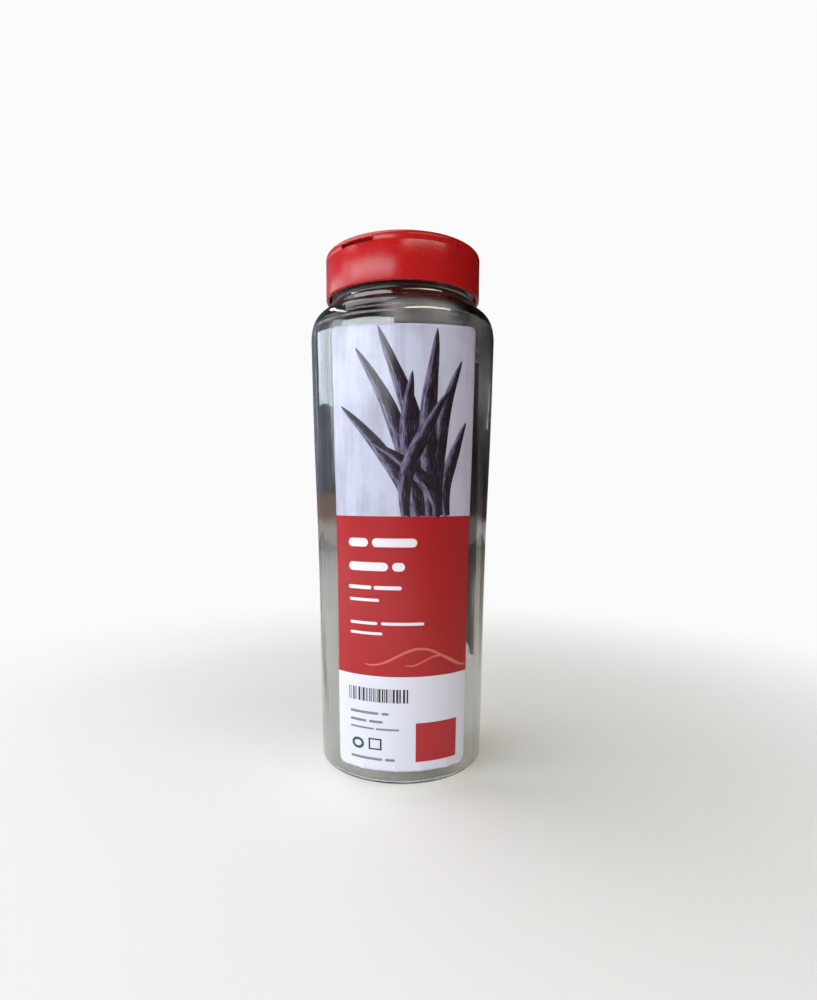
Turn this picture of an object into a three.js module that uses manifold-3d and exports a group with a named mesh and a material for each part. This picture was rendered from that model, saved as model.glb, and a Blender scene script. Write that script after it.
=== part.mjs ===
// A one-litre clear spice jar with a red flip-top screw cap, a tall front label and thirteen vanilla
// pods standing inside. Millimetres, +Z up, origin at the middle of the jar's foot, label facing -Y.
// Angles round the jar are in degrees from the label's side (-Y), growing towards +X.
import * as THREE from "three";
import { mergeVertices } from "three/addons/utils/BufferGeometryUtils.js";
import Module from "manifold-3d";

const wasm = await Module();
wasm.setup();

// ---- driving dimensions ----

const ROUND_SEGMENTS = 60; // facets round the jar, the cap and the label's circle

const BODY_RADIUS = 40.1; // widest, under the shoulder and above the heel
const WAIST_DEPTH = 0.48; // how far the label panel draws in at mid height
const WAIST_FROM_Z = 25;
const WAIST_TO_Z = 172;
const WALL = 0.9; // blown wall of the body
const FLOOR_WALL = 1.3;
const FOOT_INNER_RADIUS = 20; // the flat standing ring runs from here
const FOOT_OUTER_RADIUS = 29; // to here
const PUSH_UP = 3.6; // height of the domed middle of the base
const PUSH_UP_KNEE = { radius: 0.6, height: 0.72 }; // where the dome bends, as shares of the two above
const HEEL_HEIGHT = 4.8;
const SHOULDER_Z = 199.3; // the shoulder's curve starts here
const SHOULDER_HEIGHT = 7.8;
const NECK_RADIUS = 30.9;
const NECK_WALL = 1.5;
const SHOULDER_INNER_TO = 72; // degrees of the shoulder's curve inside, before it meets the neck's bore
const WALL_STEPS = 6; // rows of facets up the drawn-in part of the wall
const CURVE_STEPS = 5; // facets round a heel, a shoulder or a rolled edge
const COLLAR_RADIUS = 31.9; // the foot of the neck, upright over the shoulder
const COLLAR_TOP_Z = 209.2; // from here it draws in, up to the next height, to go under the cap
const NECK_FROM_Z = 211.2;
const RIM_Z = 223.9; // sealing rim of the neck

const CAP_BOTTOM_Z = 212.0;
const CAP_TOP_Z = 230.3;
const CAP_SEAM_Z = 225.9; // deck level: skirt below, flaps and bar above
const CAP_RADIUS_LOW = 33.15;
const CAP_RADIUS = 32.9;
const CAP_INNER_RADIUS = 31.6;
const CAP_WALL = 1.4;
const CAP_EDGE_WIDTH = 6.0; // rolled top edge, across
const CAP_EDGE_HEIGHT = 2.7; // and down
const GAP = 0.3; // running gap between pieces that touch
const PAST = 1; // cutting solids run this much past the face that they cut
const OVERLAP = 0.5; // joined solids run this much into each other

const NOTCH_ANGLE = -33.8; // the front flap's thumb notch, round from the label's middle
const NOTCH_HALF_SPAN = 13.4; // degrees each side
const NOTCH_TOP_Z = 227.3;
const NOTCH_DEPTH = 1.6;
const TAB_PROUD = 0.4; // thumb lip above the notch
const TAB_TOP_Z = 228.5;
const TAB_ROUND = 1.1; // how far above the tab's flat top its round edge would end
const TAB_ROOT = 3; // how far in from the rim the tab grows out of the flap
const BAR_HALF_WIDTH = 7.5; // the fixed bar between the two flaps
const MOUTH_RADIUS = 24.5; // D-shaped pouring mouths in the deck
const MOUTH_FROM_BAR = 4.0;
const MOUTH_STEPS = 14; // facets round a mouth
const PLUG_HEIGHT = 1.0; // lip under each flap, this far into the mouth that it closes
const PLUG_WALL = 1.2;
const PLUG_GAP = 0.5; // room for the lip to swing clear
const HINGE_RELIEF = 0.6; // the flap's wall beside the bar stops this much short, to turn over the deck

const LABEL_BOTTOM_Z = 9.3;
const LABEL_TOP_MIDDLE_Z = 194.7; // its top edge dips a little in the middle
const LABEL_TOP_SIDE_Z = 196.2;
const LABEL_FROM_ANGLE = -45.5;
const LABEL_TO_ANGLE = 46.6;
const LABEL_CLEARANCE = 0.12; // between label and jar, facet on facet
const LABEL_THICKNESS = 0.18;
const LABEL_TOP_CORNER = 2.2;
const LABEL_BOTTOM_CORNER = 3.6;
const LABEL_CORNER_COLUMN = 0.3; // one column of facets stands this share of a corner in from each side

const POD_COUNT = 13;
const POD_WIDTH = 7.4; // widest, across the flat of a typical pod
const POD_FLATNESS = 0.62; // thickness as a share of width
const POD_SIDES = 8;
const POD_STEPS = 18;
const POD_WIDTH_VARIES = 0.12; // share by which a pod may be wider or narrower
const POD_KNOTS = 7; // points that its curve runs through
const POD_HOOK = 2.4; // the stem end bends aside by up to this much
const POD_STAND_Z = 5.4; // how high the lowest tips stand over the table
const POD_STAND_VARIES = 2.5;
const POD_LENGTH = [162, 182];
const POD_SPACING = 8.6; // least distance between the middles of two pods at one height
const POD_WALL_REACH = 33.8; // farthest that a pod's middle may stand from the jar's axis
const BUNDLE_FOOT = { x: -4, y: 0, spread: 20 }; // where the bundle stands
const BUNDLE_HEAD = { x: 13, y: 5, spread: 21 }; // and where its tops lean
const HIGH_POD_Z = 56; // one short pod is wedged upright at the right wall, its tip this high
const HIGH_POD_LENGTH = 131;
const HIGH_POD_PLACE = { x: 31.2, y: -9.5 };
const HIGH_POD_TIP_OUT = 2.6; // its tip turns out towards the wall by this much
const POD_SEED = 5;
const EASING_LEVELS = 8; // heights at which the pods are eased apart
const EASING_STEPS = 400;
const EASING_STIFFNESS = 0.3; // how strongly a pod straightens out in each step

// ---- helpers ----

function radians(degrees) {
  return (degrees * Math.PI) / 180;
}

// The point at a radius, an angle round the jar and a height.
function onJar(radius, degrees, z) {
  const a = radians(degrees);
  return new THREE.Vector3(radius * Math.sin(a), -radius * Math.cos(a), z);
}

// A lathe round +Z of [radius, height] pairs, listed counter-clockwise in the r-z half plane.
function lathe(profile) {
  const points = profile.map(([r, z]) => new THREE.Vector2(r, z));
  const geometry = new THREE.LatheGeometry(points, ROUND_SEGMENTS);
  return geometry.rotateX(Math.PI / 2);
}

// A quarter of an ellipse as [radius, height] pairs, from angle a0 to a1 in degrees.
function ellipseArc(centreR, centreZ, halfWidth, halfHeight, a0, a1, steps) {
  const points = [];
  for (let i = 0; i <= steps; i += 1) {
    const a = radians(a0 + ((a1 - a0) * i) / steps);
    points.push([centreR + halfWidth * Math.cos(a), centreZ + halfHeight * Math.sin(a)]);
  }
  return points;
}

function toSolid(geometry) {
  const bare = geometry.clone();
  bare.deleteAttribute("normal");
  bare.deleteAttribute("uv");
  const merged = mergeVertices(bare, 1e-4);
  const vertProperties = new Float32Array(merged.attributes.position.array);
  const triVerts = new Uint32Array(merged.index.array);
  return new wasm.Manifold(new wasm.Mesh({ numProp: 3, vertProperties, triVerts }));
}

function toGeometry(solid) {
  const mesh = solid.getMesh();
  const geometry = new THREE.BufferGeometry();
  geometry.setAttribute("position", new THREE.BufferAttribute(new Float32Array(mesh.vertProperties), 3));
  geometry.setIndex(new THREE.BufferAttribute(new Uint32Array(mesh.triVerts), 1));
  geometry.computeVertexNormals();
  return geometry;
}

const group = new THREE.Group();

function addPiece(name, geometry, material) {
  const mesh = new THREE.Mesh(geometry, material);
  mesh.name = name;
  group.add(mesh);
}

// ---- jar: one blown shell of clear PET, open at the neck ----

function bodyRadius(z) {
  if (z <= WAIST_FROM_Z || z >= WAIST_TO_Z) {
    return BODY_RADIUS;
  }
  const t = (z - WAIST_FROM_Z) / (WAIST_TO_Z - WAIST_FROM_Z);
  return BODY_RADIUS - (WAIST_DEPTH / 2) * (1 - Math.cos(2 * Math.PI * t));
}

function bodyHeights() {
  const heights = [];
  for (let i = 0; i <= WALL_STEPS; i += 1) {
    heights.push(WAIST_FROM_Z + ((WAIST_TO_Z - WAIST_FROM_Z) * i) / WALL_STEPS);
  }
  return heights;
}

function jarProfile() {
  const heelWidth = BODY_RADIUS - FOOT_OUTER_RADIUS;
  const heights = bodyHeights();
  const knee = [FOOT_INNER_RADIUS * PUSH_UP_KNEE.radius, PUSH_UP * PUSH_UP_KNEE.height];
  const bore = NECK_RADIUS - NECK_WALL;
  const outside = [
    [0, PUSH_UP],
    knee,
    [FOOT_INNER_RADIUS, 0],
    ...ellipseArc(FOOT_OUTER_RADIUS, HEEL_HEIGHT, heelWidth, HEEL_HEIGHT, -90, 0, CURVE_STEPS),
    ...heights.map((z) => [bodyRadius(z), z]),
    ...ellipseArc(
      COLLAR_RADIUS,
      SHOULDER_Z,
      BODY_RADIUS - COLLAR_RADIUS,
      SHOULDER_HEIGHT,
      0,
      90,
      CURVE_STEPS + 1,
    ),
    [COLLAR_RADIUS, COLLAR_TOP_Z],
    [NECK_RADIUS, NECK_FROM_Z],
    [NECK_RADIUS, RIM_Z],
  ];
  const inside = [
    [bore, RIM_Z],
    [bore, SHOULDER_Z + SHOULDER_HEIGHT - NECK_WALL],
    ...ellipseArc(
      bore,
      SHOULDER_Z,
      BODY_RADIUS - WALL - bore,
      SHOULDER_HEIGHT - NECK_WALL,
      SHOULDER_INNER_TO,
      0,
      CURVE_STEPS - 1,
    ),
    ...heights.reverse().map((z) => [bodyRadius(z) - WALL, z]),
    ...ellipseArc(
      FOOT_OUTER_RADIUS,
      HEEL_HEIGHT,
      heelWidth - WALL,
      HEEL_HEIGHT - FLOOR_WALL,
      0,
      -90,
      CURVE_STEPS - 1,
    ),
    [FOOT_INNER_RADIUS, FLOOR_WALL],
    [knee[0], knee[1] + FLOOR_WALL],
    [0, PUSH_UP + FLOOR_WALL],
  ];
  return [...outside, ...inside];
}

const clearPet = new THREE.MeshStandardMaterial({
  color: 0xb9bdb4,
  roughness: 0.06,
  metalness: 0,
  transparent: true,
  opacity: 0.35,
});
addPiece("jar", lathe(jarProfile()), clearPet);

// ---- cap: a screw skirt with a deck, two pouring mouths, a fixed bar and two hinged flaps ----

// The cap's own axes: +X of the cap points at the front flap's notch.
const capTurn = NOTCH_ANGLE - 90;

function turnToNotch(solid) {
  return solid.rotate([0, 0, capTurn]);
}

function box(x0, x1, y0, y1, z0, z1) {
  const geometry = new THREE.BoxGeometry(x1 - x0, y1 - y0, z1 - z0);
  geometry.translate((x0 + x1) / 2, (y0 + y1) / 2, (z0 + z1) / 2);
  return toSolid(geometry);
}

// The round puck that the bar and the flaps are cut from, with its rolled top edge.
function puck(radius, bottomZ, topZ) {
  return toSolid(
    lathe([
      [0, bottomZ],
      [radius, bottomZ],
      ...ellipseArc(
        radius - CAP_EDGE_WIDTH,
        topZ - CAP_EDGE_HEIGHT,
        CAP_EDGE_WIDTH,
        CAP_EDGE_HEIGHT,
        0,
        90,
        CURVE_STEPS,
      ),
      [0, topZ],
    ]),
  );
}

// A disc cut off by a straight edge at x = fromX, as a plate from z0 to z1.
function dPlate(radius, fromX, z0, z1) {
  const half = Math.acos(fromX / radius);
  const shape = new THREE.Shape();
  shape.absarc(0, 0, radius, -half, half, false);
  shape.closePath();
  const geometry = new THREE.ExtrudeGeometry(shape, {
    depth: z1 - z0,
    bevelEnabled: false,
    curveSegments: MOUTH_STEPS,
  });
  return toSolid(geometry.translate(0, 0, z0));
}

function capSkirt() {
  return toSolid(
    lathe([
      [0, CAP_SEAM_Z - CAP_WALL],
      [CAP_INNER_RADIUS, CAP_SEAM_Z - CAP_WALL],
      [CAP_INNER_RADIUS, CAP_BOTTOM_Z],
      [CAP_RADIUS_LOW, CAP_BOTTOM_Z],
      [CAP_RADIUS, CAP_SEAM_Z],
      [0, CAP_SEAM_Z],
    ]),
  );
}

function capBase() {
  const reach = CAP_RADIUS + PAST;
  const bar = puck(CAP_RADIUS, CAP_SEAM_Z - OVERLAP, CAP_TOP_Z).intersect(
    box(-BAR_HALF_WIDTH, BAR_HALF_WIDTH, -reach, reach, CAP_SEAM_Z - OVERLAP, CAP_TOP_Z + PAST),
  );
  const pocketHalf = BAR_HALF_WIDTH - CAP_WALL;
  const underDeck = CAP_SEAM_Z - CAP_WALL - PAST;
  const pocket = box(
    -pocketHalf,
    pocketHalf,
    -MOUTH_RADIUS,
    MOUTH_RADIUS,
    underDeck,
    CAP_TOP_Z - CAP_WALL,
  );
  const mouth = dPlate(MOUTH_RADIUS, BAR_HALF_WIDTH + MOUTH_FROM_BAR, underDeck, CAP_SEAM_Z + PAST);
  const solid = capSkirt()
    .add(bar)
    .subtract(pocket)
    .subtract(mouth)
    .subtract(mouth.rotate([0, 0, 180]));
  return turnToNotch(solid);
}

// The front flap lies over +X of the cap; the back one is the same turned half round.
function flap() {
  const innerX = BAR_HALF_WIDTH + GAP;
  const bottomZ = CAP_SEAM_Z + GAP;
  const underTop = CAP_TOP_Z - CAP_WALL;
  const tabReach = CAP_RADIUS + TAB_PROUD;
  const reach = tabReach + PAST;
  const half = box(innerX, reach, -reach, reach, bottomZ, CAP_TOP_Z + PAST);
  const lid = puck(CAP_RADIUS, bottomZ, CAP_TOP_Z).intersect(half);
  const hollow = dPlate(
    CAP_RADIUS - NOTCH_DEPTH - CAP_WALL,
    innerX + CAP_WALL,
    bottomZ - PAST,
    underTop,
  );
  const plugRadius = MOUTH_RADIUS - PLUG_GAP;
  const plugFrom = BAR_HALF_WIDTH + MOUTH_FROM_BAR + PLUG_GAP;
  const plugZ = CAP_SEAM_Z - PLUG_HEIGHT;
  const plug = dPlate(plugRadius, plugFrom, plugZ, underTop + OVERLAP).subtract(
    dPlate(plugRadius - PLUG_WALL, plugFrom + PLUG_WALL, plugZ - PAST, underTop),
  );
  const relief = box(
    innerX - PAST,
    innerX + CAP_WALL + OVERLAP,
    -reach,
    reach,
    bottomZ - PAST,
    bottomZ + HINGE_RELIEF,
  );
  const tabHalf = tabReach * Math.sin(radians(NOTCH_HALF_SPAN));
  const tab = puck(tabReach, bottomZ, TAB_TOP_Z + TAB_ROUND).intersect(
    box(CAP_RADIUS - TAB_ROOT, reach, -tabHalf, tabHalf, bottomZ, TAB_TOP_Z),
  );
  const notchHalf = CAP_RADIUS * Math.sin(radians(NOTCH_HALF_SPAN));
  const notch = box(
    CAP_RADIUS * Math.cos(radians(NOTCH_HALF_SPAN)) - NOTCH_DEPTH,
    reach,
    -notchHalf,
    notchHalf,
    bottomZ - PAST,
    NOTCH_TOP_Z,
  );
  return lid.subtract(hollow).add(plug).add(tab).subtract(notch).subtract(relief);
}

const redPlastic = new THREE.MeshStandardMaterial({ color: 0xb3181c, roughness: 0.34, metalness: 0 });
addPiece("cap", toGeometry(capBase()), redPlastic);
addPiece("flap_front", toGeometry(turnToNotch(flap())), redPlastic);
addPiece("flap_back", toGeometry(turnToNotch(flap().rotate([0, 0, 180]))), redPlastic);

// ---- label: a paper sheet wrapped on the front of the jar ----

// How far a corner's round eats into the sheet's height at a distance in from its side edge.
function cornerInset(distance, radius) {
  if (distance >= radius) {
    return 0;
  }
  return radius - Math.sqrt(radius * radius - (radius - distance) ** 2);
}

function labelGeometry() {
  const facet = 360 / ROUND_SEGMENTS;
  const cornerDegrees = (LABEL_BOTTOM_CORNER / BODY_RADIUS) * (180 / Math.PI);
  const cornerColumn = cornerDegrees * LABEL_CORNER_COLUMN;
  const columns = [LABEL_FROM_ANGLE, LABEL_FROM_ANGLE + cornerColumn];
  for (let a = Math.ceil(LABEL_FROM_ANGLE / facet) * facet; a < LABEL_TO_ANGLE; a += facet) {
    columns.push(a);
  }
  columns.push(LABEL_TO_ANGLE - cornerColumn, LABEL_TO_ANGLE);
  columns.sort((a, b) => a - b);
  // The first and last rows are the sheet's own edges, so their heights here are not used.
  const rows = [0, ...bodyHeights(), 0];
  const positions = [];
  // Radius of the faceted circle at an angle that is not on one of its corners.
  const onFacet = (radius, degrees) => {
    const off = THREE.MathUtils.euclideanModulo(degrees, facet) - facet / 2;
    return (radius * Math.cos(radians(facet / 2))) / Math.cos(radians(off));
  };
  for (const side of [LABEL_CLEARANCE, LABEL_CLEARANCE + LABEL_THICKNESS]) {
    for (const degrees of columns) {
      const fromSide = Math.min(degrees - LABEL_FROM_ANGLE, LABEL_TO_ANGLE - degrees);
      const distance = radians(fromSide) * BODY_RADIUS;
      const bottom = LABEL_BOTTOM_Z + cornerInset(distance, LABEL_BOTTOM_CORNER);
      const dip = (LABEL_TOP_SIDE_Z - LABEL_TOP_MIDDLE_Z) * (degrees / LABEL_TO_ANGLE) ** 2;
      const top = LABEL_TOP_MIDDLE_Z + dip - cornerInset(distance, LABEL_TOP_CORNER);
      rows.forEach((row, i) => {
        let z = row;
        if (i === 0) {
          z = bottom;
        }
        if (i === rows.length - 1) {
          z = top;
        }
        const p = onJar(onFacet(bodyRadius(z) + side, degrees), degrees, z);
        positions.push(p.x, p.y, p.z);
      });
    }
  }
  const across = columns.length;
  const up = rows.length;
  const at = (side, column, row) => (side * across + column) * up + row;
  const index = [];
  const quad = (a, b, c, d) => index.push(a, b, c, a, c, d);
  for (let c = 0; c < across - 1; c += 1) {
    for (let r = 0; r < up - 1; r += 1) {
      quad(at(1, c, r), at(1, c + 1, r), at(1, c + 1, r + 1), at(1, c, r + 1));
      quad(at(0, c, r), at(0, c, r + 1), at(0, c + 1, r + 1), at(0, c + 1, r));
    }
    quad(at(0, c, 0), at(0, c + 1, 0), at(1, c + 1, 0), at(1, c, 0));
    quad(at(0, c, up - 1), at(1, c, up - 1), at(1, c + 1, up - 1), at(0, c + 1, up - 1));
  }
  for (let r = 0; r < up - 1; r += 1) {
    quad(at(0, 0, r), at(1, 0, r), at(1, 0, r + 1), at(0, 0, r + 1));
    quad(at(0, across - 1, r), at(0, across - 1, r + 1), at(1, across - 1, r + 1), at(1, across - 1, r));
  }
  const geometry = new THREE.BufferGeometry();
  geometry.setAttribute("position", new THREE.Float32BufferAttribute(positions, 3));
  geometry.setIndex(index);
  geometry.computeVertexNormals();
  return geometry;
}

const labelPaper = new THREE.MeshStandardMaterial({ color: 0xb02a33, roughness: 0.5, metalness: 0 });
addPiece("label", labelGeometry(), labelPaper);

// ---- pods: long, flattened, slightly bowed, with a hooked stem end and a blunt tip ----

function seededRandom(seed) {
  let state = seed;
  return () => {
    state = (state * 1664525 + 1013904223) % 4294967296;
    return state / 4294967296;
  };
}

// How wide a pod is along its length, as a share of its widest: 0 at the tip, 1 at the stem end.
function podSwell(t) {
  const tip = Math.min(1, Math.sqrt(t / 0.16));
  const stem = Math.min(1, 0.26 + 0.74 * Math.sqrt((1 - t) / 0.3));
  return Math.max(0.2, 0.3 + 0.7 * tip * stem - 0.3 * (1 - tip));
}

function podGeometry(curve, width, turn) {
  const positions = [];
  const up = new THREE.Vector3(Math.cos(turn), Math.sin(turn), 0);
  for (let i = 0; i <= POD_STEPS; i += 1) {
    const t = i / POD_STEPS;
    const centre = curve.getPointAt(t);
    const along = curve.getTangentAt(t);
    const wide = up.clone().addScaledVector(along, -up.dot(along)).normalize();
    const thin = new THREE.Vector3().crossVectors(along, wide);
    const half = (width / 2) * podSwell(t);
    for (let s = 0; s < POD_SIDES; s += 1) {
      const a = (2 * Math.PI * s) / POD_SIDES;
      const p = centre
        .clone()
        .addScaledVector(wide, half * Math.cos(a))
        .addScaledVector(thin, half * POD_FLATNESS * Math.sin(a));
      positions.push(p.x, p.y, p.z);
    }
  }
  const index = [];
  for (let i = 0; i < POD_STEPS; i += 1) {
    for (let s = 0; s < POD_SIDES; s += 1) {
      const a = i * POD_SIDES + s;
      const b = i * POD_SIDES + ((s + 1) % POD_SIDES);
      index.push(a, b, b + POD_SIDES, a, b + POD_SIDES, a + POD_SIDES);
    }
  }
  const last = POD_STEPS * POD_SIDES;
  for (let s = 1; s < POD_SIDES - 1; s += 1) {
    index.push(0, s + 1, s);
    index.push(last, last + s, last + s + 1);
  }
  const geometry = new THREE.BufferGeometry();
  geometry.setAttribute("position", new THREE.Float32BufferAttribute(positions, 3));
  geometry.setIndex(index);
  geometry.computeVertexNormals();
  return geometry;
}

// The pods' middles at a row of heights. They start as straight lines from foot to top, and are then
// eased apart, step by step, until none is nearer to another or to the wall than a pod allows.
function podPaths(random) {
  const topZ = POD_STAND_Z + POD_LENGTH[1];
  const heights = [];
  for (let k = 0; k < EASING_LEVELS; k += 1) {
    heights.push(POD_STAND_Z + ((topZ - POD_STAND_Z) * k) / (EASING_LEVELS - 1));
  }
  const inDisc = (disc) => {
    const r = disc.spread * Math.sqrt(random());
    const a = 2 * Math.PI * random();
    return new THREE.Vector2(disc.x + r * Math.cos(a), disc.y + r * Math.sin(a));
  };
  const paths = [];
  for (let i = 0; i < POD_COUNT; i += 1) {
    const foot = inDisc(BUNDLE_FOOT);
    const head = inDisc(BUNDLE_HEAD);
    if (i === POD_COUNT - 1) {
      foot.set(HIGH_POD_PLACE.x, HIGH_POD_PLACE.y);
      head.set(HIGH_POD_PLACE.x, HIGH_POD_PLACE.y);
    }
    paths.push(heights.map((z, k) => foot.clone().lerp(head, k / (EASING_LEVELS - 1))));
  }
  for (let step = 0; step < EASING_STEPS; step += 1) {
    for (let k = 0; k < EASING_LEVELS; k += 1) {
      for (let i = 0; i < POD_COUNT; i += 1) {
        for (let j = i + 1; j < POD_COUNT; j += 1) {
          const between = paths[j][k].clone().sub(paths[i][k]);
          const short = POD_SPACING - between.length();
          if (short > 0) {
            between.setLength(short / 2);
            paths[i][k].sub(between);
            paths[j][k].add(between);
          }
        }
      }
    }
    for (const path of paths) {
      for (let k = 1; k < EASING_LEVELS - 1; k += 1) {
        const middle = path[k - 1].clone().add(path[k + 1]).multiplyScalar(0.5);
        path[k].lerp(middle, EASING_STIFFNESS);
      }
      path.forEach((p) => p.clampLength(0, POD_WALL_REACH));
    }
  }
  return { heights, paths };
}

const podBrown = new THREE.MeshStandardMaterial({ color: 0x2a1a1c, roughness: 0.45, metalness: 0 });

function addPods() {
  const random = seededRandom(POD_SEED);
  const { heights, paths } = podPaths(random);
  for (let i = 0; i < POD_COUNT; i += 1) {
    const high = i === POD_COUNT - 1;
    const width = POD_WIDTH * (1 + POD_WIDTH_VARIES * (2 * random() - 1));
    const bottomZ = high ? HIGH_POD_Z : POD_STAND_Z + POD_STAND_VARIES * random();
    const spread = POD_LENGTH[1] - POD_LENGTH[0];
    const length = high ? HIGH_POD_LENGTH : POD_LENGTH[0] + spread * random();
    const turn = Math.PI * random();
    const hook = new THREE.Vector2(Math.cos(turn), Math.sin(turn)).multiplyScalar(POD_HOOK * random());
    const line = new THREE.CatmullRomCurve3(
      paths[i].map((p, k) => new THREE.Vector3(p.x, p.y, heights[k])),
    );
    const points = [];
    for (let k = 0; k < POD_KNOTS; k += 1) {
      const z = bottomZ + (length * k) / (POD_KNOTS - 1);
      const t = Math.min(1, (z - heights[0]) / (heights[heights.length - 1] - heights[0]));
      const p = line.getPoint(t);
      p.z = z;
      points.push(p);
    }
    points[POD_KNOTS - 1].x += hook.x;
    points[POD_KNOTS - 1].y += hook.y;
    points[0].x += high ? HIGH_POD_TIP_OUT : 0;
    const name = `pod_${String(i + 1).padStart(2, "0")}`;
    addPiece(name, podGeometry(new THREE.CatmullRomCurve3(points), width, turn), podBrown);
  }
}
addPods();

export default group;
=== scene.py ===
import math
import random

import bmesh
import bpy
from mathutils import Matrix, Vector


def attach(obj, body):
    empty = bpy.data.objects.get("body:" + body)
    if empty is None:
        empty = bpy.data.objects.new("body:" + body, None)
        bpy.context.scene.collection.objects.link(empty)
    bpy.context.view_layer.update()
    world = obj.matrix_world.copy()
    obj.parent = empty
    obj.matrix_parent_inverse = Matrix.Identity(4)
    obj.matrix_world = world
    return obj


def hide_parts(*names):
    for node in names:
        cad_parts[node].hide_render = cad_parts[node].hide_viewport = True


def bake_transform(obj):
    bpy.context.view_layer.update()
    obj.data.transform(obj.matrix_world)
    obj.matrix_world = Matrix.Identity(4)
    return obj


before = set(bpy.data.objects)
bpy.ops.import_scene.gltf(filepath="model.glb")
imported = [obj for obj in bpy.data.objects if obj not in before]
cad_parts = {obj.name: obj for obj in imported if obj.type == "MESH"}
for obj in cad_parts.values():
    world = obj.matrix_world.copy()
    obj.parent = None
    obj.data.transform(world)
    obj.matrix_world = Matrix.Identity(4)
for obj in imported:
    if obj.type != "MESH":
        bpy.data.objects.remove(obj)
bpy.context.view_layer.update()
MM = 0.001

# ---- the table and the light ----
# The jar stands on a plain pale table top that fades out all round. Eight soft boxes stand and hang about it:
# wide ones at the left and above, narrow ones that draw the bright lines on shoulder and edges. The rest of
# the room is dim, so that the clear wall shows grey against it.
TABLE_REACH = 1.28
TABLE_FADE_FROM = 0.09
TABLE_FADE_TO = 0.46
ROOM_MIDDLE = Vector((0, 0, 120 * MM))
LIGHT_DISTANCE = 1.2
TABLE_PAINT = (0.93, 0.915, 0.89, 1)
TABLE_BROWNER = (0.66, 0.57, 0.49, 1)
BROWNER_FROM = 0.06
BROWNER_TO = 0.35
DAYLIGHT = (0.86, 0.93, 1.0)
DAYLIGHT_SIDE = (0.88, 0.94, 1.0)
DAYLIGHT_FAR = (0.80, 0.90, 1.0)
WHITE = (1.0, 1.0, 1.0)
CREAM = (1.0, 0.94, 0.82)
PALE_CREAM = (1.0, 0.96, 0.86)
LAMPS = [
    # name, degrees round from the viewer and up, metres wide and high, brightness, colour
    ("window_light", -45, 20, 1.45, 0.40, 6.6, DAYLIGHT),
    ("window_side", -88, 15, 0.42, 0.60, 2.5, DAYLIGHT_SIDE),
    ("far_window", -112, 14.5, 0.68, 0.20, 3.4, DAYLIGHT_FAR),
    ("ceiling_light", -118, 68, 0.80, 0.70, 2.3, WHITE),
    ("ceiling_strip", 36, 50, 1.05, 0.11, 12.0, CREAM),
    ("back_strip_left", -112, 44, 1.0, 0.05, 12.0, CREAM),
    ("rim_left", -141, 12, 0.05, 0.34, 0.8, WHITE),
    ("rod_right", 140, 9.5, 0.03, 0.10, 5.0, PALE_CREAM),
]
ROOM_LEFT = (0.25, 0.275, 0.345, 1)
ROOM_RIGHT = (0.022, 0.021, 0.016, 1)
ROOM_FRONT = (0.13, 0.13, 0.13, 1)
ROOM_PLAIN = (1, 1, 1, 1)
ROOM_UPPER = (0.45, 0.45, 0.45, 1)
SKIRTING_LEFT = (0.32, 0.22, 0.21, 1)
SKIRTING_RIGHT = (0.05, 0.042, 0.042, 1)
ROOM_FLOOR = (0.50, 0.47, 0.455, 1)
BACKDROP = (0.96, 0.96, 0.96, 1)


def node(tree, kind, inputs=None, **settings):
    """A shader node, with its settings, and its inputs given as values or as sockets to link."""
    made = tree.nodes.new(kind)
    for key, value in settings.items():
        setattr(made, key, value)
    for key, value in (inputs or {}).items():
        if isinstance(value, bpy.types.NodeSocket):
            tree.links.new(value, made.inputs[key])
        else:
            made.inputs[key].default_value = value
    return made


def smooth_step(tree, value, start, end):
    """0 at the start and 1 at the end of a span, with a soft change between them."""
    span = {"Value": value, "From Min": start, "From Max": end}
    return node(tree, "ShaderNodeMapRange", span, interpolation_type="SMOOTHSTEP").outputs["Result"]


def scaled(tree, value, start, end, low, high):
    """A span of a value, brought to the range from low to high."""
    span = {"Value": value, "From Min": start, "From Max": end, "To Min": low, "To Max": high}
    return node(tree, "ShaderNodeMapRange", span).outputs["Result"]


def maths(tree, operation, a, b):
    return node(tree, "ShaderNodeMath", {0: a, 1: b}, operation=operation).outputs[0]


def colour_mix(tree, factor, a, b):
    return node(tree, "ShaderNodeMix", {"Factor": factor, "A": a, "B": b}, data_type="RGBA").outputs[2]


def colour_times(tree, colour, by):
    return node(tree, "ShaderNodeVectorMath", {0: colour, 1: by}, operation="MULTIPLY").outputs[0]


def noise(tree, place, scale, detail, roughness=0.5):
    grain = {"Vector": place, "Scale": scale, "Detail": detail, "Roughness": roughness}
    return node(tree, "ShaderNodeTexNoise", grain).outputs["Fac"]


def drawn_up(tree, place, share):
    """The place with its height scaled, so that a grain runs long (under 1) or lies flat (over 1)."""
    return node(tree, "ShaderNodeMapping", {"Vector": place, "Scale": (1, 1, share)}).outputs[0]


def add_mesh(name, points, faces, smooth=True):
    mesh = bpy.data.meshes.new(name)
    mesh.from_pydata(points, [], faces)
    mesh.update()
    mesh.shade_smooth() if smooth else mesh.shade_flat()
    piece = bpy.data.objects.new(name, mesh)
    bpy.context.scene.collection.objects.link(piece)
    return piece


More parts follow.
